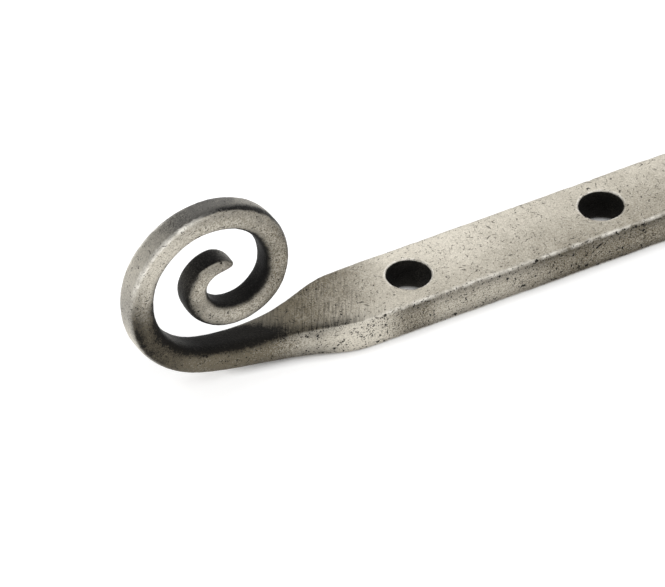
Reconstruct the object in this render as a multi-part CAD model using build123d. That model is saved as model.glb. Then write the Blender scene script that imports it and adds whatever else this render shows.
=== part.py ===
"""Monkey tail casement stay: forged arm with a curled tail, swivel fork, pins and fixing bracket.

Millimetres, +Z up. The origin is the centre of the bracket's back face. The arm lies along X
with its tail towards -X, and the window's inner face is at Y = 0.
"""

import os
from math import ceil, cos, radians, sin, sqrt

from build123d import *

# Flat arm
ARM_WIDTH = 16.0
ARM_THICKNESS = 7.1
EDGE_RADIUS = 0.6
EDGE_FACETS = 3

# Peg holes, counted from the pivot
PEG_HOLE_DIAMETER = 8.5
PEG_HOLE_COUNT = 4
PEG_HOLE_PITCH = 41.5
PIVOT_TO_FIRST_HOLE = 65.5
PEG_HOLE_BREAK = 0.15
PEG_HOLE_EASE = 0.8

# Monkey tail: the bar is drawn out to a rod, then curled up in arcs that meet in a tangent
LAST_HOLE_TO_NECK = 11.0
TAIL_RUN = 15.0
DRAW_OUT_LENGTH = 13.0
DRAW_OUT_POWER = 2.6
ROD_WIDTH = 5.4
ROD_THICKNESS = 5.8
ROD_END_THICKNESS = 4.9
ROD_EDGE_RADIUS = 1.7
RIDGE_RADIUS = 0.6
RIDGE_MIDDLE = 71.0
RIDGE_HALF_LENGTH = 17.0
TIP_THICKNESS = 2.0
TIP_LENGTH = 15.0
TIP_EDGE_SHARE = 0.4
TIP_ROUNDING = 4.0
TIP_END_SHARE = 0.5
CURL_RADII = (80.0, 18.0, 14.4, 8.6, 4.75)
CURL_TURNS = (13.0, 86.0, 179.0, 158.0, 146.0)
STATION_TURN = 13.0
STATION_RUN = 4.0

# Tongue of the arm and the cross pin it lifts on
TONGUE_WIDTH = 7.0
SHOULDER_FROM_PIVOT = 9.5
SHOULDER_LENGTH = 7.0
LIFT_PIN_DIAMETER = 4.0
LIFT_PIN_CLEARANCE = 0.06
PIN_HEAD_DIAMETER = 6.6
PIN_HEAD_HEIGHT = 1.4

# Swivel fork
CHEEK_GAP = 0.15
CHEEK_THICKNESS = 3.65
CHEEK_RADIUS = 6.2
FORK_BASE_THICKNESS = 2.2
FORK_FLOOR_GAP = 0.15
FORK_EDGE = 0.7
STUD_DIAMETER = 6.0
STUD_CLEARANCE = 0.06
STUD_SPREAD_DIAMETER = 9.0
STUD_SPREAD_HEIGHT = 1.4
STUD_SPREAD_GAP = 0.25

# Fixing bracket
PLATE_LENGTH = 54.0
PLATE_HEIGHT = 16.0
PLATE_THICKNESS = 4.0
PLATE_CORNER = 3.0
LUG_WIDTH = 18.0
LUG_THICKNESS = 3.2
LUG_ROOT_FILLET = 1.2
BRACKET_EDGE = 0.6
SWIVEL_FROM_WALL = 15.0
SCREW_SPACING = 38.0
SCREW_HOLE_DIAMETER = 4.6
SCREW_SINK_DIAMETER = 8.6
SLIDE_GAP = 0.1

# Heights and positions that follow from the sizes above
lug_bottom = -PLATE_HEIGHT / 2
lug_top = lug_bottom + LUG_THICKNESS
fork_bottom = lug_top + SLIDE_GAP
fork_floor = fork_bottom + FORK_BASE_THICKNESS
arm_bottom = fork_floor + FORK_FLOOR_GAP
arm_middle = arm_bottom + ARM_THICKNESS / 2
swivel_y = -SWIVEL_FROM_WALL
fork_slot = TONGUE_WIDTH + 2 * CHEEK_GAP
fork_width = fork_slot + 2 * CHEEK_THICKNESS
stud_end = lug_bottom + SLIDE_GAP
hole_xs = [-(PIVOT_TO_FIRST_HOLE + i * PEG_HOLE_PITCH) for i in range(PEG_HOLE_COUNT)]
neck_x = hole_xs[-1] - LAST_HOLE_TO_NECK
shoulder_x = -SHOULDER_FROM_PIVOT


def section(x, z, heading, width, thickness, radius=EDGE_RADIUS, ridge=EDGE_RADIUS):
    """Cross-section of the arm at a point of its middle line, with corners hammered round in facets.

    The ridge is the radius of the corner that is the curl's front outer one.
    """
    plane = Plane(
        origin=(x, swivel_y, z),
        x_dir=(0, 1, 0),
        z_dir=(cos(heading), 0, sin(heading)),
    )
    points = []
    for quarter, (side, level) in enumerate(((1, 1), (-1, 1), (-1, -1), (1, -1))):
        corner = ridge if side < 0 < level else radius
        for facet in range(EDGE_FACETS + 1):
            angle = radians(90) * (quarter + facet / EDGE_FACETS)
            across = side * (width / 2 - corner) + corner * cos(angle)
            up = level * (thickness / 2 - corner) + corner * sin(angle)
            points.append((across, up))
    return plane * Polygon(*points, align=None)


def along_x(x_from, x_to, width, thickness):
    """Straight stretch of the arm between two stations."""
    first = section(x_from, arm_middle, 0, width, thickness)
    return extrude(first, amount=x_to - x_from, dir=(1, 0, 0))


def dome(diameter, height):
    """Round rivet head standing on Z = 0."""
    radius = diameter / 2
    ball = (radius**2 + height**2) / (2 * height)
    head = Pos(0, 0, height - ball) * Sphere(ball)
    return head & (Pos(0, 0, height / 2) * Cylinder(radius * 1.01, height))


def tail_stations():
    """Middle line of the tail: (length from the neck, x, z, heading) at each cross-section."""
    steps = ceil(TAIL_RUN / STATION_RUN)
    x, z, heading, length = neck_x, arm_middle, radians(180), 0.0
    stations = [(length, x, z, heading)]
    for _ in range(steps):
        x -= TAIL_RUN / steps
        length += TAIL_RUN / steps
        stations.append((length, x, z, heading))
    for radius, turn in zip(CURL_RADII, CURL_TURNS):
        steps = max(ceil(turn / STATION_TURN), ceil(radians(turn) * radius / STATION_RUN / 2))
        step = radians(turn) / steps
        for _ in range(steps):
            x += radius * (sin(heading) - sin(heading - step))
            z += radius * (cos(heading - step) - cos(heading))
            heading -= step
            length += radius * step
            stations.append((length, x, z, heading))
    return stations


def tail():
    """Drawn-out and curled end of the arm."""
    stations = tail_stations()
    whole = stations[-1][0]
    sections = []
    for length, x, z, heading in stations:
        drawn = 1 / (1 + (length / DRAW_OUT_LENGTH) ** DRAW_OUT_POWER)
        width = ROD_WIDTH + (ARM_WIDTH - ROD_WIDTH) * drawn
        share = min(length / (whole - TIP_LENGTH), 1)
        rod = ROD_THICKNESS + (ROD_END_THICKNESS - ROD_THICKNESS) * share
        thickness = rod + (ARM_THICKNESS - ROD_THICKNESS) * drawn
        tip = max(length - whole + TIP_LENGTH, 0) / TIP_LENGTH
        thickness += (TIP_THICKNESS - thickness) * tip**2
        rounding = max(length - whole + TIP_ROUNDING, 0) / TIP_ROUNDING
        tip_share = sqrt(1 - (1 - TIP_END_SHARE**2) * rounding**2)
        width *= tip_share
        thickness *= tip_share
        edge = EDGE_RADIUS + (ROD_EDGE_RADIUS - EDGE_RADIUS) * (1 - drawn)
        edge = min(edge, TIP_EDGE_SHARE * thickness)
        sharp = 1 / (1 + ((length - RIDGE_MIDDLE) / RIDGE_HALF_LENGTH) ** 4)
        ridge = min(edge, edge + (RIDGE_RADIUS - edge) * sharp)
        sections.append(section(x, z, heading, width, thickness, edge, ridge))
    return loft(sections)


def stay_arm():
    """Forged arm: flat bar, curled tail, shoulders, tongue with a round end, and all its holes."""
    shoulder_full = shoulder_x - SHOULDER_LENGTH
    bar = along_x(neck_x, shoulder_full, ARM_WIDTH, ARM_THICKNESS)
    shoulders = loft(
        [
            section(shoulder_full, arm_middle, 0, ARM_WIDTH, ARM_THICKNESS),
            section(shoulder_x, arm_middle, 0, TONGUE_WIDTH, ARM_THICKNESS),
        ],
        ruled=True,
    )
    tongue = along_x(shoulder_x, 0, TONGUE_WIDTH, ARM_THICKNESS)
    end = Cylinder(ARM_THICKNESS / 2, TONGUE_WIDTH, rotation=(90, 0, 0))
    end = chamfer(end.edges().filter_by(GeomType.CIRCLE), EDGE_RADIUS)
    end = Pos(0, swivel_y, arm_middle) * end
    half = Pos(ARM_THICKNESS, swivel_y, arm_middle) * Box(
        2 * ARM_THICKNESS, 2 * TONGUE_WIDTH, 2 * ARM_THICKNESS
    )
    arm = tail() + bar + shoulders + tongue + (end & half)
    for x in hole_xs:
        arm -= Pos(x, swivel_y, arm_middle) * peg_hole()
    eye = Cylinder(
        LIFT_PIN_DIAMETER / 2 + LIFT_PIN_CLEARANCE, 2 * ARM_WIDTH, rotation=(90, 0, 0)
    )
    return arm - Pos(0, swivel_y, arm_middle) * eye


def peg_hole():
    """Cutter for one peg hole: through, broken at the upper rim and eased at the lower one."""
    radius = PEG_HOLE_DIAMETER / 2
    cutter = Cylinder(radius, 2 * ARM_THICKNESS)
    for rim, turn in ((PEG_HOLE_BREAK, Rot(0, 0, 0)), (PEG_HOLE_EASE, Rot(180, 0, 0))):
        cone = Cone(radius, radius + 2 * rim, 2 * rim)
        cutter += turn * Pos(0, 0, ARM_THICKNESS / 2) * cone
    return cutter


def swivel_fork():
    """Base, two cheeks round the tongue, and the stud that is peened over inside the lug."""
    height = arm_middle - fork_bottom
    block = Pos(0, 0, -height / 2) * Box(2 * CHEEK_RADIUS, fork_width, height)
    rounding = Cylinder(CHEEK_RADIUS, fork_width, rotation=(90, 0, 0))
    block += rounding & (Pos(0, 0, CHEEK_RADIUS) * Box(4 * CHEEK_RADIUS, 2 * fork_width, 2 * CHEEK_RADIUS))
    sides = block.faces().sort_by(Axis.Y)
    block = chamfer(sides[0].edges() + sides[-1].edges(), FORK_EDGE)
    slot_height = 2 * CHEEK_RADIUS
    slot_floor = fork_floor - arm_middle
    block -= Pos(0, 0, slot_floor + slot_height / 2) * Box(
        4 * CHEEK_RADIUS, fork_slot, slot_height
    )
    block -= Cylinder(LIFT_PIN_DIAMETER / 2, 2 * fork_width, rotation=(90, 0, 0))
    fork = Pos(0, 0, arm_middle) * block
    stud_top = fork_bottom + FORK_BASE_THICKNESS / 2
    stud_length = stud_top - stud_end
    fork += Pos(0, 0, stud_top - stud_length / 2) * Cylinder(STUD_DIAMETER / 2, stud_length)
    fork += Pos(0, 0, stud_end + STUD_SPREAD_HEIGHT / 2) * Cone(
        STUD_SPREAD_DIAMETER / 2, STUD_DIAMETER / 2, STUD_SPREAD_HEIGHT
    )
    return Pos(0, swivel_y, 0) * fork


def lift_pin():
    """Cross rivet through the cheeks and the tongue, with a round head at each end."""
    pin = Cylinder(LIFT_PIN_DIAMETER / 2, fork_width)
    head = Pos(0, 0, fork_width / 2) * dome(PIN_HEAD_DIAMETER, PIN_HEAD_HEIGHT)
    pin += head + Rot(180, 0, 0) * head
    return Pos(0, swivel_y, arm_middle) * Rot(90, 0, 0) * pin


def fixing_bracket():
    """Screw plate against the window with a flat lug at its foot for the swivel stud."""
    outline = Plane.XZ * RectangleRounded(PLATE_LENGTH, PLATE_HEIGHT, PLATE_CORNER)
    plate = extrude(outline, amount=PLATE_THICKNESS, dir=(0, -1, 0))
    front = plate.faces().sort_by(Axis.Y)[0]
    plate = chamfer(front.edges(), BRACKET_EDGE)
    reach = SWIVEL_FROM_WALL
    lug = Cylinder(LUG_WIDTH / 2, LUG_THICKNESS)
    lug += Pos(0, reach / 2, 0) * Box(LUG_WIDTH, reach, LUG_THICKNESS)
    ends = lug.faces().sort_by(Axis.Z)
    rims = ends[0].edges() + ends[-1].edges()
    back = rims.sort_by(Axis.Y)[-2:]
    lug = chamfer([e for e in rims if e not in back], BRACKET_EDGE)
    bracket = plate + Pos(0, swivel_y, lug_bottom + LUG_THICKNESS / 2) * lug
    root = [
        e
        for e in bracket.edges()
        if abs(e.center().Y + PLATE_THICKNESS) < 0.01
        and abs(e.center().X) < LUG_WIDTH / 4
        and abs(e.center().Z - lug_top) < 0.01
    ]
    bracket = fillet(root, LUG_ROOT_FILLET)
    bracket -= Pos(0, swivel_y, lug_bottom) * stud_hole()
    for side in (1, -1):
        bracket -= Pos(side * SCREW_SPACING / 2, 0, 0) * screw_hole()
    return bracket


def stud_hole():
    """Cutter for the swivel hole, sunk from below for the peened end of the stud."""
    radius = STUD_DIAMETER / 2 + STUD_CLEARANCE
    slope = (STUD_SPREAD_DIAMETER - STUD_DIAMETER) / 2 / STUD_SPREAD_HEIGHT
    depth = SLIDE_GAP + STUD_SPREAD_HEIGHT + STUD_SPREAD_GAP
    sink = Cone(radius + 2 * depth * slope, radius, 2 * depth)
    return Cylinder(radius, 4 * LUG_THICKNESS) + sink


def screw_hole():
    """Cutter for one countersunk screw hole through the plate, sunk from the front."""
    radius = SCREW_HOLE_DIAMETER / 2
    depth = (SCREW_SINK_DIAMETER - SCREW_HOLE_DIAMETER) / 2
    sink = Cone(radius, SCREW_SINK_DIAMETER / 2 + depth, 2 * depth)
    cutter = Cylinder(radius, 4 * PLATE_THICKNESS) + Pos(0, 0, PLATE_THICKNESS) * sink
    return Rot(90, 0, 0) * cutter


os.makedirs("parts", exist_ok=True)
for make in (stay_arm, swivel_fork, lift_pin, fixing_bracket):
    export_step(make(), f"parts/{make.__name__}.step")
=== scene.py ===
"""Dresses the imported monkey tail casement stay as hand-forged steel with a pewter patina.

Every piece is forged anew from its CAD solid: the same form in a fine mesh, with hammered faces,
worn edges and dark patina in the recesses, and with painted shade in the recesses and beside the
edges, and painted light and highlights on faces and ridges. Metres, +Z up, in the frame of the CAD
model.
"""

from math import cos, pi, radians, sin, sqrt

import bmesh
import bpy
import numpy as np
from bpy.props import FloatProperty, FloatVectorProperty, IntProperty, PointerProperty
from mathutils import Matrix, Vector, noise
from mathutils.bvhtree import BVHTree


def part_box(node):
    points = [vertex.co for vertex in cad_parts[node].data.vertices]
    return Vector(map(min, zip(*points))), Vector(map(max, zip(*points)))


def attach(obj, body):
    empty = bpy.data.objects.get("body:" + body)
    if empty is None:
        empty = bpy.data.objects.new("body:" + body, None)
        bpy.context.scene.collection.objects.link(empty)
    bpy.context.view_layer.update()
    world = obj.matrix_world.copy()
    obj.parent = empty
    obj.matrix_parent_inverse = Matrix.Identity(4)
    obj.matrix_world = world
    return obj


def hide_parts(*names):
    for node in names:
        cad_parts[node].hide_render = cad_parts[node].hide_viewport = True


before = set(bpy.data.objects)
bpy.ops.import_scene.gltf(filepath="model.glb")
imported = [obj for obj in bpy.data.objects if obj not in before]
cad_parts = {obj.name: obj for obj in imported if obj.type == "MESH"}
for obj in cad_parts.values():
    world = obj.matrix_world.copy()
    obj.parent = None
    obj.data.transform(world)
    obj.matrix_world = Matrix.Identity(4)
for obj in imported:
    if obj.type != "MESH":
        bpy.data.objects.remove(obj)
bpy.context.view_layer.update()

bl_info = {
    "name": "Casement stay dresser",
    "version": (1, 0, 0),
    "blender": (4, 5, 0),
    "location": "3D View > Sidebar > Stay",
    "description": "Forges the pieces of a monkey tail casement stay and sets its studio",
    "category": "Object",
}

MILLIMETRE = 0.001
BLACK = (0.0, 0.0, 0.0)
WHITE = (1.0, 1.0, 1.0)

# The colour sockets of a Mix node
MIX_FIRST, MIX_SECOND, MIX_RESULT = 6, 7, 2

# Points of a CAD skin that are nearer than this are one
WELD_DISTANCE = 0.002 * MILLIMETRE

# Turn between two faces of the even mesh from which on their edge is an arris
ARRIS_TURN = radians(18)

# Passes that lay the fine mesh back on the CAD skin
SETTLING_PASSES = 3

# Scale marks: how much finer than the hammer blows, and how deep against them
SCALE_FINENESS, SCALE_DEPTH = 3.7, 0.35

# Nicks: how much finer than the blows, the noise from none to deep, and the wear that they take
NICK_FINENESS, NICK_LEVELS, NICK_LOSS = 4.3, (0.15, 0.7), 0.5

# How proud of its neighbours, in 1/mm, a point of an arris is before it wears, and when worn bare
WEAR_LEVELS = (0.10, 0.28)

# Passes that spread the marks over the surface, and the strength of the mark beside an arris
WEAR_PASSES, BESIDE_PASSES, RECESS_PASSES, PATINA_PASSES = 4, 50, 8, 34
BESIDE_GAIN = 3

# Directions in which each point looks out, the cosine below which one grazes the surface, where
# it starts, and how far it reaches on the arm and on the fittings
OUTLOOK_RAYS = 64
GRAZING = 0.1
OUTLOOK_START = 0.5 * MILLIMETRE
ARM_OUTLOOK = 0.022
FITTING_OUTLOOK = 0.012

# The marks on each mesh that its finish reads; the recess, shade, polish and wear marks also carry
# painted shade and light
MARKS = ("recess", "wear", "shade", "polish_and_painted_light", "filed", "grained", "pitted", "cool")

# Recess at which the patina and painted shade are full, and from which to which they turn into
# those of a deep hole
FULL_RECESS = 0.13
HOLE_LEVELS = (0.25, 0.5)

# Corrosion pits: grains per millimetre, the grain's level at the pit's rim, and from rim to floor
PITS = ((0.9, 0.76), (1.6, 0.74), (2.6, 0.74))
PIT_SLOPE = 0.05

# Scratches: the grain's levels, the sway in millimetres and its grains per millimetre, then for
# each family its direction, and grains per millimetre along and across
SCRATCH_LEVELS = (0.695, 0.765)
SCRATCH_SWAY, SWAY_SCALE = 2.5, 0.35
SCRATCHES = (
    (0.5, 0.22, 3.0),
    (-0.9, 0.26, 3.2),
    (1.7, 0.3, 3.4),
    (1.1, 0.8, 2.0),
    (-0.4, 0.9, 2.2),
    (2.4, 0.8, 2.1),
)

# Turn that brings the file's strokes onto the Y axis, grains per millimetre across and along
# them, and the grain's levels
FILE_SLANT = radians(29.4)
FILE_STROKES = (2.9, 0.22, 0.22)
FILE_LEVELS = (0.45, 0.65)

# Stretches of the arm in millimetres from the tail's end: rise from and to, fall from and to
NECK = (26, 34, 42, 56)
UNDER_NECK = (20, 26, 37, 44)
PLAIN_SIDE = (38, 44, 51, 58)

# Millimetres over the underside and from the curl's centre, from none to full, and the half width
BELOW_CURL = (10.5, 8.5)
CORE = (12, 9.5)
HALF_WIDTH = 8

# How bright the bar's metal is painted, partly rubbed bright and partly painted shade, with the
# sides darker than the top, the top darker towards the pivot end and, over the neck, towards its
# back edge: start, then (from, to, change) in millimetres from the tail's end
BAR_SIDE_POLISH_AND_PAINTED_SHADE = (0.7, (36, 46, 0.25), (48, 57, -0.75), (58, 64, 0.42), (76, 90, -0.48))
BAR_TOP_POLISH_AND_PAINTED_SHADE = (0.83, (70, 82, -0.14), (84, 95, -0.16))
BAR_TOP_SLOPE = (-0.7, (46, 62, 0.92))

# How bright the curl's metal is painted, partly rubbed bright and partly painted light and shade,
# with the faces lighter on the upper left and darker low down and on the right, the outer band
# lighter over the top, and how dark the painted shade beside its edges is: start, then (direction,
# width, change) in degrees round the curl, from the bar's side over the top
CURL_FACE_POLISH_AND_PAINTED_SHADE = (0.62, (141, 38, 0.3), (205, 35, -1.0), (275, 45, -0.78), (8, 40, -0.32))
CURL_BAND_POLISH_AND_PAINTED_LIGHT = (-0.1, (142, 26, 0.88), (55, 25, 0.46))
CURL_CORE_POLISH = 0.52
CURL_HALO = (0.5, (138, 28, -0.4), (192, 26, 0.5))

# Width of the dark ring round the heads of the cross pin
SEAT_RING = 0.5 * MILLIMETRE

# Studio: floor, lamps (direction from the aimed point, and size) and camera
FLOOR_HALF = 1.5
DIP_STATIONS = 33
LAMP_DISTANCE = 1.1
SOFTBOX_TOWARDS, SOFTBOX_SIZE = (0.5, 0.6, 0.75), (0.9, 0.8)
FRONT_LAMP_TOWARDS, FRONT_LAMP_SIZE = (0.25, -0.65, 0.75), (1.0, 0.7)
FAR_CLIP = 20.0

# The photograph's frame, for which the camera is set
PICTURE_WIDTH = 665
SENSOR_WIDTH = 36.0


class ForgedSteelLook(bpy.types.PropertyGroup):
    """Sizes and colours of the forged and patinated steel."""

    arm_step: FloatProperty(
        name="Arm mesh step",
        description="Edge length of the arm's forged mesh",
        default=0.0005,
        unit="LENGTH",
        precision=5,
    )
    fitting_step: FloatProperty(
        name="Fitting mesh step",
        description="Edge length of the forged mesh of fork, pin and bracket",
        default=0.00026,
        unit="LENGTH",
        precision=5,
    )
    hammer_depth: FloatProperty(
        name="Hammer depth",
        description="How far hammer blows move the surface",
        default=0.00009,
        unit="LENGTH",
        precision=5,
    )
    hammer_spacing: FloatProperty(
        name="Hammer spacing",
        description="Distance between hammer blows",
        default=0.007,
        unit="LENGTH",
        precision=4,
    )
    edge_softening: IntProperty(
        name="Edge softening",
        description="Smoothing passes that wear the edges round",
        default=2,
    )
    worn_colour: FloatVectorProperty(
        name="Worn colour",
        description="Bare pewter-grey metal on rubbed faces",
        default=(0.685, 0.643, 0.555),
        subtype="COLOR",
    )
    aged_colour: FloatVectorProperty(
        name="Aged colour",
        description="Metal under a thin patina",
        default=(0.160, 0.138, 0.098),
        subtype="COLOR",
    )
    cool_colour: FloatVectorProperty(
        name="Cool colour",
        description="Metal under a thin patina on the curl's outer band",
        default=(0.134, 0.129, 0.119),
        subtype="COLOR",
    )
    # Also the colour of painted highlights on the bar's arrises and along the curl's shoulder
    # ridge
    edge_colour: FloatVectorProperty(
        name="Edge colour",
        description="Bright metal where edges are rubbed",
        default=(0.86, 0.83, 0.76),
        subtype="COLOR",
    )
    # Dark patina in pits, which is also the painted shade in the recesses and beside the edges
    patina_and_shade_colour: FloatVectorProperty(
        name="Patina colour",
        description="Thick dark patina in pits and recesses",
        default=(0.008, 0.0077, 0.008),
        subtype="COLOR",
    )
    # Patina and painted shade deep in the peg holes
    hole_colour: FloatVectorProperty(
        name="Hole colour",
        description="Thickest patina, deep in the peg holes",
        default=(0.002, 0.0018, 0.002),
        subtype="COLOR",
    )
    tail_from: FloatProperty(
        name="Tail finish ends",
        description="From the tail's end, up to here the top keeps its patina",
        default=0.028,
        unit="LENGTH",
    )
    tail_to: FloatProperty(
        name="Bar finish begins",
        description="From the tail's end, from here on the top is rubbed bright",
        default=0.068,
        unit="LENGTH",
    )
    curl_from_end: FloatProperty(
        name="Curl centre from the end",
        description="Distance of the curl's centre from the tail's far end",
        default=0.0185,
        unit="LENGTH",
    )
    curl_height: FloatProperty(
        name="Curl centre height",
        description="Height of the curl's centre over the arm's underside",
        default=0.0205,
        unit="LENGTH",
    )


class StudioLook(bpy.types.PropertyGroup):
    """View, floor and light of the studio."""

    view_turn: FloatProperty(
        name="View turn",
        description="Turn of the camera about the upright axis",
        default=radians(-29.4),
        subtype="ANGLE",
    )
    view_rise: FloatProperty(
        name="View rise",
        description="Height of the camera above the arm's plane",
        default=radians(39.3),
        subtype="ANGLE",
    )
    view_distance: FloatProperty(
        name="View distance",
        description="Distance of the camera from the point it aims at",
        default=4.0,
        unit="LENGTH",
    )
    view_scale: FloatProperty(
        name="View scale",
        description="Picture elements for each metre at the aimed point",
        default=5365.0,
    )
    aim: FloatVectorProperty(
        name="Aim",
        description="Point at the middle of the picture",
        default=(-0.20631, -0.015, 0.00661),
        subtype="TRANSLATION",
        precision=5,
    )
    dip_length: FloatProperty(
        name="Dip length",
        description="Length over which the floor dips from the arm to the bracket's foot",
        default=0.11,
        unit="LENGTH",
    )
    shadow_reach: FloatProperty(
        name="Shadow reach",
        description="How near the floor darkens under the piece",
        default=0.0018,
        unit="LENGTH",
    )
    floor_colour: FloatVectorProperty(
        name="Floor colour",
        description="Pale floor",
        default=(0.8, 0.8, 0.8),
        subtype="COLOR",
    )
    floor_lift: FloatProperty(
        name="Floor lift",
        description="Light added to the floor where it lies open, so that it shows white",
        default=0.5,
    )
    sky_strength: FloatProperty(
        name="Sky strength",
        description="Strength of the soft light from all sides",
        default=0.8,
    )
    softbox_power: FloatProperty(
        name="Softbox power",
        description="Power of the large lamp above and behind",
        default=2.4,
        unit="POWER",
    )
    front_power: FloatProperty(
        name="Front lamp power",
        description="Power of the lamp above the camera's side",
        default=3.2,
        unit="POWER",
    )


class Value:
    """A socket of a finish; arithmetic on it adds Math nodes."""

    def __init__(self, finish, socket):
        self.finish = finish
        self.socket = socket

    def math(self, operation, first, second):
        """Adds one Math node."""
        return self.finish.node(
            "ShaderNodeMath", {"operation": operation}, {0: first, 1: second}
        )

    def __add__(self, other):
        return self.math("ADD", self, other)

    def __radd__(self, other):
        return self.math("ADD", other, self)

    def __sub__(self, other):
        return self.math("SUBTRACT", self, other)

    def __rsub__(self, other):
        return self.math("SUBTRACT", other, self)

    def __mul__(self, other):
        return self.math("MULTIPLY", self, other)

    def __rmul__(self, other):
        return self.math("MULTIPLY", other, self)

    def at_least(self, other):
        return self.math("MAXIMUM", self, other)

    def at_most(self, other):
        return self.math("MINIMUM", self, other)

    def between(self, low, high):
        """0 below low, 1 above high, smooth between."""
        return self.finish.node(
            "ShaderNodeMapRange",
            {"interpolation_type": "SMOOTHSTEP"},
            {"Value": self, "From Min": low, "From Max": high},
        )


class Finish:
    """Builds one material from nodes."""

    def __init__(self, tree):
        self.tree = tree
        tree.nodes.clear()

    def node(self, kind, settings=None, inputs=None, output=0):
        """Adds a node, sets it, fills its sockets with values or links, and returns an output."""
        made = self.tree.nodes.new(kind)
        for name, value in (settings or {}).items():
            setattr(made, name, value)
        for key, value in (inputs or {}).items():
            socket = made.inputs[key]
            if isinstance(value, Value):
                self.tree.links.new(value.socket, socket)
            else:
                socket.default_value = value
        return Value(self, made.outputs[output]) if made.outputs else None

    def mix(self, share, first, second):
        """Colour between two colours."""
        return self.node(
            "ShaderNodeMix",
            {"data_type": "RGBA"},
            {"Factor": share, MIX_FIRST: rgba(first), MIX_SECOND: rgba(second)},
            output=MIX_RESULT,
        )

    def scaled(self, vector, factors):
        """A vector with each part times its factor."""
        return self.node(
            "ShaderNodeVectorMath", {"operation": "MULTIPLY"}, {0: vector, 1: factors}
        )

    def turned(self, vector, angles):
        """A vector turned about the origin."""
        return self.node(
            "ShaderNodeVectorRotate",
            {"rotation_type": "EULER_XYZ"},
            {"Vector": vector, "Rotation": angles},
        )

    def grain(self, vector, scale, detail=2.0, rough=0.5):
        """Noise about 0.5."""
        return self.node(
            "ShaderNodeTexNoise",
            None,
            {"Vector": vector, "Scale": scale, "Detail": detail, "Roughness": rough},
        )

    def attribute(self, name):
        """A mark that the mesh carries."""
        return self.node("ShaderNodeAttribute", {"attribute_name": name}, output="Fac")


def rgba(colour):
    """A colour property as a four-part colour; a Value stays as it is."""
    return colour if isinstance(colour, Value) else (*colour, 1.0)


def forged_steel(name, look):
    """Steel with a pewter patina: grained, pitted, scratched, filed, dark with patina and painted
    shade in recesses and beside edges, with painted light and highlights in its colour.
    """
    material = bpy.data.materials.new(name)
    material.use_nodes = True
    finish = Finish(material.node_tree)
    place = finish.node("ShaderNodeTexCoord", output="Object")
    in_mm = finish.scaled(place, (1 / MILLIMETRE,) * 3)
    recess, wear, shade, polish_and_painted_light, filed, grained, pitted, cool = (
        finish.attribute(mark) for mark in MARKS
    )

    clouds = finish.grain(in_mm, scale=0.09, detail=3.0, rough=0.6).between(0.3, 0.7)
    blotches = finish.grain(in_mm, scale=0.5, detail=4.0, rough=0.65).between(0.32, 0.68)
    mottle = finish.grain(in_mm, scale=1.4, detail=3.0, rough=0.65).between(0.3, 0.7)
    speckle = finish.grain(in_mm, scale=3.3, detail=2.0, rough=0.7).between(0.32, 0.68)
    dull = 1.0 - polish_and_painted_light.at_most(1.0)

    pits = pitting(finish, in_mm, pitted)
    scratches = scratching(finish, in_mm)
    filing = file_marks(finish, in_mm) * filed

    grain = 0.75 * (speckle - 0.5) + 0.1 * (mottle - 0.5)
    # Rubbed metal with painted light and shade: the polish mark lightens and darkens the colour by
    # place
    rubbed = polish_and_painted_light + grain * grained + 0.16 * (clouds - 0.5) + 0.1 * (blotches - 0.5)
    rubbed = rubbed.at_least(0.0).at_most(1.0)
    aged = finish.mix(cool, look.aged_colour, look.cool_colour)
    colour = finish.mix(rubbed, aged, look.worn_colour)
    # Worn edges rubbed bright, and painted highlights on the bar's arrises and along the curl's
    # shoulder ridge
    bright = (wear * (0.25 + 0.9 * blotches - 0.5 * pits)).at_least(0.0).at_most(1.0)
    colour = finish.mix(bright, colour, look.edge_colour)
    # Dark patina and painted shade in the recesses, painted shade beside the edges, and near-black
    # patina and painted shade deep in the peg holes, added to the pits, scratches and file marks
    hollow = (recess * (0.6 + 0.4 * blotches + 0.6 * speckle)).between(0.0, FULL_RECESS)
    beside = shade * (0.3 + 0.35 * blotches + 0.4 * speckle) * (1.0 - bright)
    stain_and_shade = 0.8 * pits + 0.6 * scratches + 0.27 * filing
    stain_and_shade = stain_and_shade + hollow * (0.97 - 0.12 * speckle) + beside
    in_hole = recess.between(*HOLE_LEVELS)
    stain_and_shade = stain_and_shade.at_most(0.93) + 0.065 * in_hole
    patina = finish.mix(in_hole, look.patina_and_shade_colour, look.hole_colour)
    colour = finish.mix(stain_and_shade, colour, patina)

    shine = 0.38 - 0.12 * bright + 0.08 * speckle + 0.06 * dull + 0.2 * stain_and_shade
    height = 0.4 * speckle + 0.2 * mottle - 1.0 * pits - 0.4 * scratches - 0.5 * filing
    bump = finish.node(
        "ShaderNodeBump",
        None,
        {"Strength": 0.75, "Distance": 0.08 * MILLIMETRE, "Height": height},
    )
    steel = finish.node(
        "ShaderNodeBsdfPrincipled",
        None,
        {"Base Color": colour, "Metallic": 1.0, "Roughness": shine, "Normal": bump},
    )
    finish.node("ShaderNodeOutputMaterial", None, {"Surface": steel})
    return material


def pitting(finish, in_mm, pitted):
    """Ragged corrosion pits in three sizes, denser in patches."""
    patch = finish.grain(in_mm, scale=0.22).between(0.35, 0.68)
    pits = 0.0
    for scale, rim in PITS:
        ragged = finish.grain(in_mm, scale, rough=0.55) + 0.04 * patch + 0.09 * pitted
        pits = ragged.between(rim, rim + PIT_SLOPE) + pits
    return pits.at_most(1.0)


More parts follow.
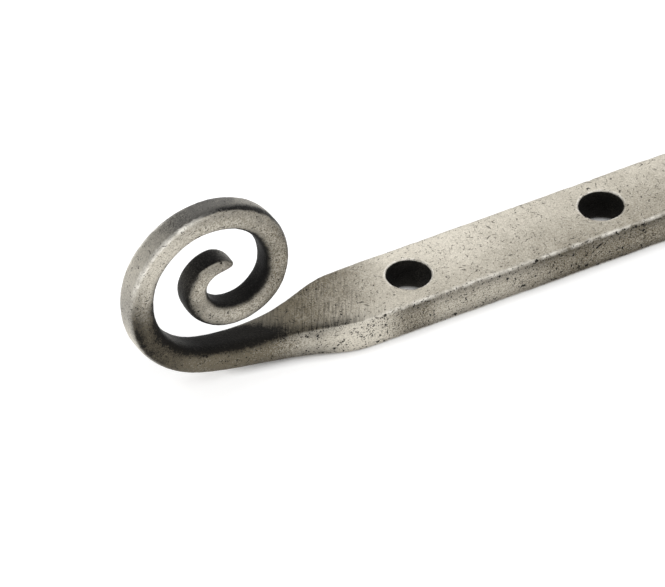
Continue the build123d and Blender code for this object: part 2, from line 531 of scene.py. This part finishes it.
def scratching(finish, in_mm):
    """Short curved hairline scratches in a few directions across the flat faces."""
    sway = finish.node(
        "ShaderNodeTexNoise",
        None,
        {"Vector": in_mm, "Scale": SWAY_SCALE, "Detail": 1.0},
        output="Color",
    )
    swayed = finish.node(
        "ShaderNodeVectorMath",
        {"operation": "ADD"},
        {0: in_mm, 1: finish.scaled(sway, (SCRATCH_SWAY,) * 3)},
    )
    scratches = 0.0
    for angle, along, across in SCRATCHES:
        turned = finish.turned(swayed, (0.0, 0.0, angle))
        drawn = finish.scaled(turned, (along, across, across))
        hairline = finish.grain(drawn, scale=1.0, detail=1.0).between(*SCRATCH_LEVELS)
        scratches = hairline + scratches
    return scratches.at_most(1.0)


def file_marks(finish, in_mm):
    """Fine strokes left by the file, slanting across the drawn-out neck."""
    turned = finish.turned(in_mm, (0.0, 0.0, FILE_SLANT))
    drawn = finish.scaled(turned, FILE_STROKES)
    return finish.grain(drawn, scale=1.0, detail=1.0).between(*FILE_LEVELS)


def closed_copy(node):
    """The CAD node's mesh in a bmesh with its faces joined into one skin."""
    skin = bmesh.new()
    skin.from_mesh(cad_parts[node].data)
    bmesh.ops.remove_doubles(skin, verts=skin.verts, dist=WELD_DISTANCE)
    return skin


def even_mesh(node, skin, step):
    """Mesh of one edge length all over, on the form of a closed skin."""
    blank_mesh = bpy.data.meshes.new(f"{node}_blank")
    skin.to_mesh(blank_mesh)
    blank = bpy.data.objects.new(f"{node}_blank", blank_mesh)
    bpy.context.scene.collection.objects.link(blank)
    remesh = blank.modifiers.new("even_mesh", "REMESH")
    remesh.mode = "VOXEL"
    remesh.voxel_size = step
    graph = bpy.context.evaluated_depsgraph_get()
    mesh = bpy.data.meshes.new_from_object(blank.evaluated_get(graph))
    bpy.data.objects.remove(blank)
    bpy.data.meshes.remove(blank_mesh)
    mesh.name = f"{node}_forged"
    return mesh


def even_out(work):
    """Moves each vertex half way to the middle of its neighbours."""
    bmesh.ops.smooth_vert(
        work, verts=work.verts, factor=0.5, use_axis_x=True, use_axis_y=True, use_axis_z=True
    )


def forged_mesh(node, step, softening):
    """Fine mesh of the CAD node's form, twice as fine along its arrises, which are worn round."""
    skin = closed_copy(node)
    tree = BVHTree.FromBMesh(skin)
    mesh = even_mesh(node, skin, step)
    skin.free()
    work = bmesh.new()
    work.from_mesh(mesh)
    near = set()
    for edge in work.edges:
        if edge.calc_face_angle(0.0) > ARRIS_TURN:
            near.update(face for vert in edge.verts for face in vert.link_faces)
    cut = {edge for face in near for edge in face.edges}
    cut = sorted(cut, key=lambda edge: edge.index)
    bmesh.ops.subdivide_edges(work, edges=cut, cuts=1, use_grid_fill=True)
    for _ in range(SETTLING_PASSES):
        even_out(work)
        for vert in work.verts:
            vert.co = tree.find_nearest(vert.co)[0]
    for _ in range(softening):
        even_out(work)
    work.to_mesh(mesh)
    work.free()
    mesh.shade_smooth()
    return mesh


def points_and_normals(mesh):
    """Places and normals of a mesh's vertices."""
    count = len(mesh.vertices)
    points = np.empty(count * 3)
    normals = np.empty(count * 3)
    mesh.vertices.foreach_get("co", points)
    mesh.vertices.foreach_get("normal", normals)
    return points.reshape(-1, 3), normals.reshape(-1, 3)


def write_mark(mesh, name, values):
    """Keeps a value for each vertex on the mesh."""
    mark = mesh.attributes.get(name) or mesh.attributes.new(name, "FLOAT", "POINT")
    mark.data.foreach_set("value", values.astype(np.float32))


def read_mark(mesh, name):
    """The values that write_mark has kept."""
    values = np.empty(len(mesh.vertices), np.float32)
    mesh.attributes[name].data.foreach_get("value", values)
    return values.astype(float)


def smoothstep(low, high, values):
    """0 up to low, 1 from high on, smooth between; low may be the larger one."""
    share = np.clip((values - low) / (high - low), 0, 1)
    return share * share * (3 - 2 * share)


def stretch(values, rise_from, rise_to, fall_from, fall_to):
    """1 over a stretch, with smooth ends."""
    return smoothstep(rise_from, rise_to, values) * (1 - smoothstep(fall_from, fall_to, values))


def stepped(values, profile):
    """A start value and its smooth changes along a line."""
    start, *changes = profile
    return start + sum(change * smoothstep(low, high, values) for low, high, change in changes)


def lobe(turn, middle, width):
    """Bell round a direction of the clock, in degrees."""
    apart = (turn - middle + 180) % 360 - 180
    return np.exp(-((apart / width) ** 2))


def lobed(turn, profile):
    """A start value and its bell-shaped changes round the clock."""
    start, *changes = profile
    return start + sum(change * lobe(turn, middle, width) for middle, width, change in changes)


def blend(first, second, share):
    """First at share 0, second at share 1."""
    return first + (second - first) * share


def neighbour_mean(mesh, values):
    """Mean of each vertex's neighbours along its edges."""
    pairs = np.empty(len(mesh.edges) * 2, np.int64)
    mesh.edges.foreach_get("vertices", pairs)
    here = np.concatenate((pairs[0::2], pairs[1::2]))
    there = np.concatenate((pairs[1::2], pairs[0::2]))
    count = np.maximum(np.bincount(here, minlength=len(values)), 1)
    columns = values.reshape(len(values), -1).T
    means = [np.bincount(here, column[there], len(values)) / count for column in columns]
    return np.array(means).T.reshape(values.shape)


def spread(mesh, values, passes):
    """Values that run into one another over the surface, half way to the neighbours each pass."""
    for _ in range(passes):
        values = 0.5 * values + 0.5 * neighbour_mean(mesh, values)
    return values


def noise_at(points, spacing):
    """Smooth noise about 0 with bumps of one spacing."""
    return np.array([noise.noise(Vector(point) / spacing) for point in points])


def hammer(mesh, depth, spacing):
    """Moves the surface in and out as hammer blows and scale leave it, and nicks the arrises."""
    points, normals = points_and_normals(mesh)
    wear = read_mark(mesh, "wear")
    blows = noise_at(points, spacing)
    scale_marks = noise_at(points, spacing / SCALE_FINENESS)
    nicks = smoothstep(*NICK_LEVELS, noise_at(points, spacing / NICK_FINENESS)) * wear
    lift = depth * (blows + SCALE_DEPTH * scale_marks - nicks)
    mesh.vertices.foreach_set("co", (points + normals * lift[:, None]).ravel())
    mesh.update()
    write_mark(mesh, "wear", wear * (1 - NICK_LOSS * nicks))


def mark_wear(mesh):
    """Writes how worn each point is as part of an arris, and how near one it lies, 0 to 1."""
    points, normals = points_and_normals(mesh)
    middle = neighbour_mean(mesh, points)
    squares = (points**2).sum(1)
    distances = neighbour_mean(mesh, squares) - 2 * (points * middle).sum(1) + squares
    proud = ((points - middle) * normals).sum(1) / distances * MILLIMETRE
    wear = smoothstep(*WEAR_LEVELS, spread(mesh, proud, WEAR_PASSES))
    write_mark(mesh, "wear", wear)
    beside = BESIDE_GAIN * spread(mesh, wear, BESIDE_PASSES)
    write_mark(mesh, "beside", np.clip(beside, 0, 1))


def sphere_directions(count):
    """Evenly spread directions on a spiral round the sphere."""
    turn = pi * (3 - sqrt(5))
    directions = []
    for i in range(count):
        rise = 1 - (2 * i + 1) / count
        flat = sqrt(1 - rise * rise)
        directions.append(Vector((flat * cos(turn * i), flat * sin(turn * i), rise)))
    return directions


def mark_recess(mesh, node, reach):
    """Writes how much of each point's outlook the piece itself shuts off, from 0 to 1."""
    skin = closed_copy(node)
    tree = BVHTree.FromBMesh(skin)
    points, normals = points_and_normals(mesh)
    directions = sphere_directions(OUTLOOK_RAYS)
    recess = np.zeros(len(points))
    for i, (point, outward) in enumerate(zip(points, normals)):
        normal = Vector(outward)
        start = Vector(point) + normal * OUTLOOK_START
        seen = 0.0
        shut = 0.0
        for direction in directions:
            facing = normal.dot(direction)
            if facing > GRAZING:
                seen += facing
                hit = tree.ray_cast(start, direction, reach)
                if hit[0] is not None:
                    shut += facing * (1 - hit[3] / reach)
        recess[i] = shut / seen
    skin.free()
    write_mark(mesh, "recess", spread(mesh, recess, RECESS_PASSES))


def forge(node, body, step, look, material, outlook):
    """One forged piece in place of its CAD node."""
    mesh = forged_mesh(node, step, look.edge_softening)
    mark_wear(mesh)
    hammer(mesh, look.hammer_depth, look.hammer_spacing)
    mark_recess(mesh, node, outlook)
    mesh.materials.append(material)
    piece = bpy.data.objects.new(f"{node}_forged", mesh)
    bpy.context.scene.collection.objects.link(piece)
    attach(piece, body)
    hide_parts(node)
    return piece


class ArmPlaces:
    """Where the arm's points lie: in millimetres, or as shares from 0 to 1."""

    def __init__(self, mesh, look):
        points, normals = points_and_normals(mesh)
        x, y, z = points.T / MILLIMETRE
        sideways = np.abs(normals[:, 1])
        self.skyward = normals[:, 2]
        self.upper = smoothstep(0.55, 0.9, self.skyward)

        # On the bar: from the tail's end, over the underside, and from the front to the back edge
        self.along = x - x.min()
        self.up = z - z.min()
        self.backward = (y - y.mean()) / HALF_WIDTH
        tail_from, tail_to = look.tail_from / MILLIMETRE, look.tail_to / MILLIMETRE
        below_curl = smoothstep(*BELOW_CURL, self.up)
        on_top = smoothstep(tail_from, tail_to, self.along) * below_curl
        self.on_side = smoothstep(tail_from, tail_from + 10, self.along) * below_curl
        self.on_bar = blend(self.on_side, on_top, self.upper)
        self.neck = stretch(self.along, *NECK)

        # On the curl: from its centre, round it, and from its front to its back
        self.across = self.along - look.curl_from_end / MILLIMETRE
        rise = self.up - look.curl_height / MILLIMETRE
        self.turn = np.degrees(np.arctan2(rise, self.across))
        from_centre = np.hypot(self.across, rise)
        self.core = smoothstep(*CORE, from_centre)
        self.tip = self.core * smoothstep(-5, -3, self.across) * smoothstep(2, 3.5, rise)
        self.depth = y - y[rise > 0].min()
        self.front = np.maximum(
            smoothstep(0.5, 0.9, sideways), self.tip * smoothstep(0.3, 0.65, sideways)
        )
        inward = -(normals[:, 0] * self.across + normals[:, 2] * rise)
        inward /= np.maximum(from_centre, 1)
        self.inside = smoothstep(0.3, 0.7, inward) * (1 - self.on_side)
        self.outer_turn = (1 - self.core) * (1 - self.on_side)


def arm_polish_and_painted_light(at):
    """How bright the arm's metal is painted: rubbed bright, with painted light and shade on the
    bar's sides and top and on the curl's faces and outer band.
    """
    side = stepped(at.along, BAR_SIDE_POLISH_AND_PAINTED_SHADE)
    top = stepped(at.along, BAR_TOP_POLISH_AND_PAINTED_SHADE) + at.backward * stepped(at.along, BAR_TOP_SLOPE)
    face = blend(lobed(at.turn, CURL_FACE_POLISH_AND_PAINTED_SHADE), CURL_CORE_POLISH, at.core)
    band = lobed(at.turn, CURL_BAND_POLISH_AND_PAINTED_LIGHT)
    # Painted light rim along the back edge of the outer band, low on the curl's left
    band += lobe(at.turn, 206, 30) * (0.4 + 0.75 * smoothstep(0.2, 1.6, at.depth))
    return blend(blend(band, face, at.front), blend(side, top, at.upper), at.on_bar)


def arm_shade(at, beside):
    """Painted shade on the arm's faces: beside their edges, along the bar's lower edge, under the
    neck, at the curl's bend, along the front of its outer band and the front edge of the neck's
    top.
    """
    bar_halo = 0.6 - 0.5 * stretch(at.along, *PLAIN_SIDE)
    halo = beside * blend(lobed(at.turn, CURL_HALO), bar_halo, at.on_side)
    lower_edge = 0.5 * (1 - smoothstep(0.2, 1.8, at.up)) * at.on_side
    under_neck = 0.4 * (1 - smoothstep(1.0, 4.5, at.up)) * stretch(at.along, *UNDER_NECK)
    bend = 0.48 * lobe(at.turn, 207, 34) * at.outer_turn
    neck_edge = 0.7 * at.neck * at.upper * beside * smoothstep(0.1, -0.4, at.backward)
    neck_edge *= 1 - 0.6 * smoothstep(41, 48, at.along)
    faces = at.front * (np.maximum(halo, lower_edge) + bend + under_neck) + neck_edge
    band_edge = np.exp(-((at.depth - 0.6 - 1.6 * lobe(at.turn, 25, 30)) ** 2))
    band_edge *= 1.8 * lobe(at.turn, 62, 35) * (1 - 0.85 * at.front) * at.outer_turn
    return np.maximum(faces, band_edge)


def arm_wear_and_highlight(at, wear):
    """How bright the arm's edges are: the bar's, rubbed bare and in part a painted highlight, and
    a painted highlight along the ridge on the curl's shoulder.
    """
    bar = 0.65 * smoothstep(44, 53, at.along) * wear**3
    curl = 1.7 * lobe(at.turn, 130, 24) * (1 - at.core) * wear
    return np.minimum(blend(curl, bar, at.on_side), 1)


def arm_recess(at, mesh):
    """How deep the patina and painted shade are: inside the curl, fading along the neck, and in
    the peg holes.
    """
    bare = read_mark(mesh, "recess")
    run_share = (at.along - 21 + 22 * at.backward) / (16 + 14 * at.backward)
    run_end = smoothstep(0, 1, run_share) * at.upper * (1 - smoothstep(7, 10, at.up))
    curl = spread(mesh, (bare + 0.06 * at.inside) * (1 - run_end), PATINA_PASSES)
    # The painted shade is lifted off the curl's front faces and tip, and a painted light rim is
    # left along the back edge of its runs
    curl *= 1 - 0.9 * at.front * np.maximum(at.tip, lobe(at.turn, 95, 40) * (1 - at.core))
    curl *= 1 - 0.75 * at.tip * smoothstep(-2, 3, at.across)
    curl *= 1 - 0.45 * at.front * at.core
    curl *= 1 - 0.6 * smoothstep(4.4, 5.8, at.depth) * (1 - at.core)
    # Patina and painted shade on the walls of the peg holes
    holes = bare * (1 - smoothstep(0.2, 0.75, at.skyward))
    return blend(curl, holes, at.on_side * (1 - at.neck))


def mark_arm(mesh, look):
    """Writes what the arm's finish reads."""
    at = ArmPlaces(mesh, look)
    matt = 1 - at.front
    write_mark(mesh, "polish_and_painted_light", arm_polish_and_painted_light(at))
    write_mark(mesh, "shade", arm_shade(at, read_mark(mesh, "beside")))
    write_mark(mesh, "wear", arm_wear_and_highlight(at, read_mark(mesh, "wear")))
    write_mark(mesh, "recess", arm_recess(at, mesh))
    write_mark(mesh, "filed", at.neck * at.upper)
    write_mark(mesh, "cool", matt * (1 - at.on_side) * smoothstep(4, 10, at.up))
    write_mark(mesh, "grained", at.front * (1 - 0.1 * at.on_side) + 0.45 * matt)
    write_mark(mesh, "pitted", at.front * (0.5 + 0.5 * at.on_side) + 0.35 * at.upper * at.on_side)


def mark_fitting(mesh):
    """Writes a half-rubbed finish with painted light, brighter on faces that look up or to the
    front, and painted shade beside the edges.
    """
    _, normals = points_and_normals(mesh)
    outward = np.maximum(normals[:, 2], -normals[:, 1])
    write_mark(mesh, "polish_and_painted_light", 0.35 + 0.35 * smoothstep(0.3, 0.9, outward))
    write_mark(mesh, "shade", 0.35 * read_mark(mesh, "beside"))
    write_mark(mesh, "grained", np.full(len(normals), 0.7))
    write_mark(mesh, "pitted", np.full(len(normals), 0.5))


def mark_pin_seats(fork_mesh, pin_mesh):
    """Paints a dark ring of patina and painted shade on the fork's cheeks round the heads of the
    cross pin.
    """
    fork, _ = points_and_normals(fork_mesh)
    pin, _ = points_and_normals(pin_mesh)
    middle = (pin.min(axis=0) + pin.max(axis=0)) / 2
    head_radius = np.ptp(pin[:, 0]) / 2
    apart = np.hypot(fork[:, 0] - middle[0], fork[:, 2] - middle[2]) - head_radius
    ring = np.exp(-((apart / SEAT_RING) ** 2))
    write_mark(fork_mesh, "shade", np.maximum(read_mark(fork_mesh, "shade"), ring))


class STAY_OT_forge_arm(bpy.types.Operator):
    """Forge the arm with its peg holes and curled tail"""

    bl_idname = "stay.forge_arm"
    bl_label = "Forge arm"

    def execute(self, context):
        look = context.scene.forged_steel_look
        steel = forged_steel("forged_arm_steel", look)
        arm = forge("stay_arm", "arm", look.arm_step, look, steel, ARM_OUTLOOK)
        mark_arm(arm.data, look)
        return {"FINISHED"}


class STAY_OT_forge_fittings(bpy.types.Operator):
    """Forge the swivel fork, its cross pin and the fixing bracket"""

    bl_idname = "stay.forge_fittings"
    bl_label = "Forge fittings"

    def execute(self, context):
        look = context.scene.forged_steel_look
        steel = forged_steel("forged_fitting_steel", look)
        meshes = {}
        for node, body, slot in (
            ("swivel_fork", "swivel", "forged_steel"),
            ("lift_pin", "swivel", "pivot_steel"),
            ("fixing_bracket", "bracket", "forged_steel"),
        ):
            fitting = forge(node, body, look.fitting_step, look, steel, FITTING_OUTLOOK)
            mark_fitting(fitting.data)
            meshes[node] = fitting.data
        mark_pin_seats(meshes["swivel_fork"], meshes["lift_pin"])
        return {"FINISHED"}


class STAY_OT_set_studio(bpy.types.Operator):
    """Set the floor, the light and the camera"""

    bl_idname = "stay.set_studio"
    bl_label = "Set studio"

    def execute(self, context):
        studio = context.scene.studio_look
        context.scene.view_settings.view_transform = "Standard"
        lay_floor(studio)
        light_sky(context.scene, studio)
        aim = Vector(studio.aim)
        hang_lamp("softbox", studio.softbox_power, aim, SOFTBOX_TOWARDS, SOFTBOX_SIZE)
        hang_lamp("front_lamp", studio.front_power, aim, FRONT_LAMP_TOWARDS, FRONT_LAMP_SIZE)
        set_camera(context.scene, studio)
        return {"FINISHED"}


def seen_directly(finish):
    """1 where the camera sees a surface, also in a mirror or through glass."""
    seen = 0.0
    for ray in ("Is Camera Ray", "Is Glossy Ray", "Is Transmission Ray"):
        seen = finish.node("ShaderNodeLightPath", output=ray) + seen
    return seen.at_most(1.0)


def lay_floor(studio):
    """Pale sheet that lies against the arm's underside and dips to the bracket's foot."""
    arm_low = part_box("stay_arm")[0]
    bracket_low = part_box("fixing_bracket")[0]
    dip_to = bracket_low.x
    dip_from = dip_to - studio.dip_length
    dip = np.linspace(dip_from, dip_to, DIP_STATIONS)
    xs = [dip_from - FLOOR_HALF, *dip, dip_to + FLOOR_HALF]
    corners = []
    for x in xs:
        z = arm_low.z - float(smoothstep(dip_from, dip_to, x)) * (arm_low.z - bracket_low.z)
        corners += [(x, -FLOOR_HALF, z), (x, FLOOR_HALF, z)]
    faces = [(2 * i, 2 * i + 2, 2 * i + 3, 2 * i + 1) for i in range(len(xs) - 1)]
    mesh = bpy.data.meshes.new("studio_floor")
    mesh.from_pydata(corners, [], faces)
    mesh.shade_smooth()
    floor = bpy.data.objects.new("studio_floor", mesh)
    bpy.context.scene.collection.objects.link(floor)
    material = bpy.data.materials.new("pale_floor")
    material.use_nodes = True
    finish = Finish(material.node_tree)
    # The added light fades where the piece shuts off the floor's outlook: a painted contact shadow
    # on the floor
    openness = finish.node(
        "ShaderNodeAmbientOcclusion",
        {"samples": 8},
        {"Distance": studio.shadow_reach},
        output="AO",
    )
    lift = studio.floor_lift * seen_directly(finish) * openness
    glow = finish.node("ShaderNodeEmission", None, {"Color": finish.mix(lift, BLACK, WHITE)})
    matt = finish.node("ShaderNodeBsdfDiffuse", None, {"Color": rgba(studio.floor_colour)})
    both = finish.node("ShaderNodeAddShader", None, {0: matt, 1: glow})
    finish.node("ShaderNodeOutputMaterial", None, {"Surface": both})
    mesh.materials.append(material)


def light_sky(scene, studio):
    """Soft light of one strength from all sides."""
    world = bpy.data.worlds.new("soft_studio")
    world.use_nodes = True
    finish = Finish(world.node_tree)
    sky = finish.node("ShaderNodeBackground", None, {"Strength": studio.sky_strength})
    finish.node("ShaderNodeOutputWorld", None, {"Surface": sky})
    scene.world = world


def hang_lamp(name, power, aim, towards, size):
    """Large rectangular lamp that faces the aimed point."""
    lamp = bpy.data.lights.new(name, "AREA")
    lamp.shape = "RECTANGLE"
    lamp.size, lamp.size_y = size
    lamp.energy = power
    hung = bpy.data.objects.new(name, lamp)
    hung.visible_camera = False
    hung.location = aim + Vector(towards).normalized() * LAMP_DISTANCE
    hung.rotation_euler = (aim - hung.location).to_track_quat("-Z", "Y").to_euler()
    bpy.context.scene.collection.objects.link(hung)


def set_camera(scene, studio):
    """Long lens at the photograph's viewing angle."""
    back = Vector(
        (
            sin(studio.view_turn) * cos(studio.view_rise),
            -cos(studio.view_turn) * cos(studio.view_rise),
            sin(studio.view_rise),
        )
    )
    lens = bpy.data.cameras.new("camera")
    lens.sensor_width = SENSOR_WIDTH
    lens.lens = studio.view_scale * studio.view_distance * SENSOR_WIDTH / PICTURE_WIDTH
    lens.clip_end = FAR_CLIP
    camera = bpy.data.objects.new("camera", lens)
    camera.location = Vector(studio.aim) + back * studio.view_distance
    camera.rotation_euler = (-back).to_track_quat("-Z", "Y").to_euler()
    scene.collection.objects.link(camera)
    scene.camera = camera


class STAY_PT_dresser(bpy.types.Panel):
    """Lists the steps and their values"""

    bl_idname = "STAY_PT_dresser"
    bl_label = "Casement stay"
    bl_space_type = "VIEW_3D"
    bl_region_type = "UI"
    bl_category = "Stay"

    def draw(self, context):
        for operator in OPERATORS:
            self.layout.operator(operator.bl_idname)
        for look in (context.scene.forged_steel_look, context.scene.studio_look):
            box = self.layout.box()
            for name in look.__annotations__:
                box.prop(look, name)


OPERATORS = (STAY_OT_forge_arm, STAY_OT_forge_fittings, STAY_OT_set_studio)
CLASSES = (ForgedSteelLook, StudioLook, *OPERATORS, STAY_PT_dresser)


def register():
    """Makes the steps, their values and the panel known."""
    for cls in CLASSES:
        bpy.utils.register_class(cls)
    bpy.types.Scene.forged_steel_look = PointerProperty(type=ForgedSteelLook)
    bpy.types.Scene.studio_look = PointerProperty(type=StudioLook)


def unregister():
    """Takes back what register has made known."""
    del bpy.types.Scene.studio_look
    del bpy.types.Scene.forged_steel_look
    for cls in reversed(CLASSES):
        bpy.utils.unregister_class(cls)


def main():
    """Runs the steps."""
    register()
    bpy.ops.stay.forge_arm()
    bpy.ops.stay.forge_fittings()
    bpy.ops.stay.set_studio()


if __name__ == "__main__":
    main()
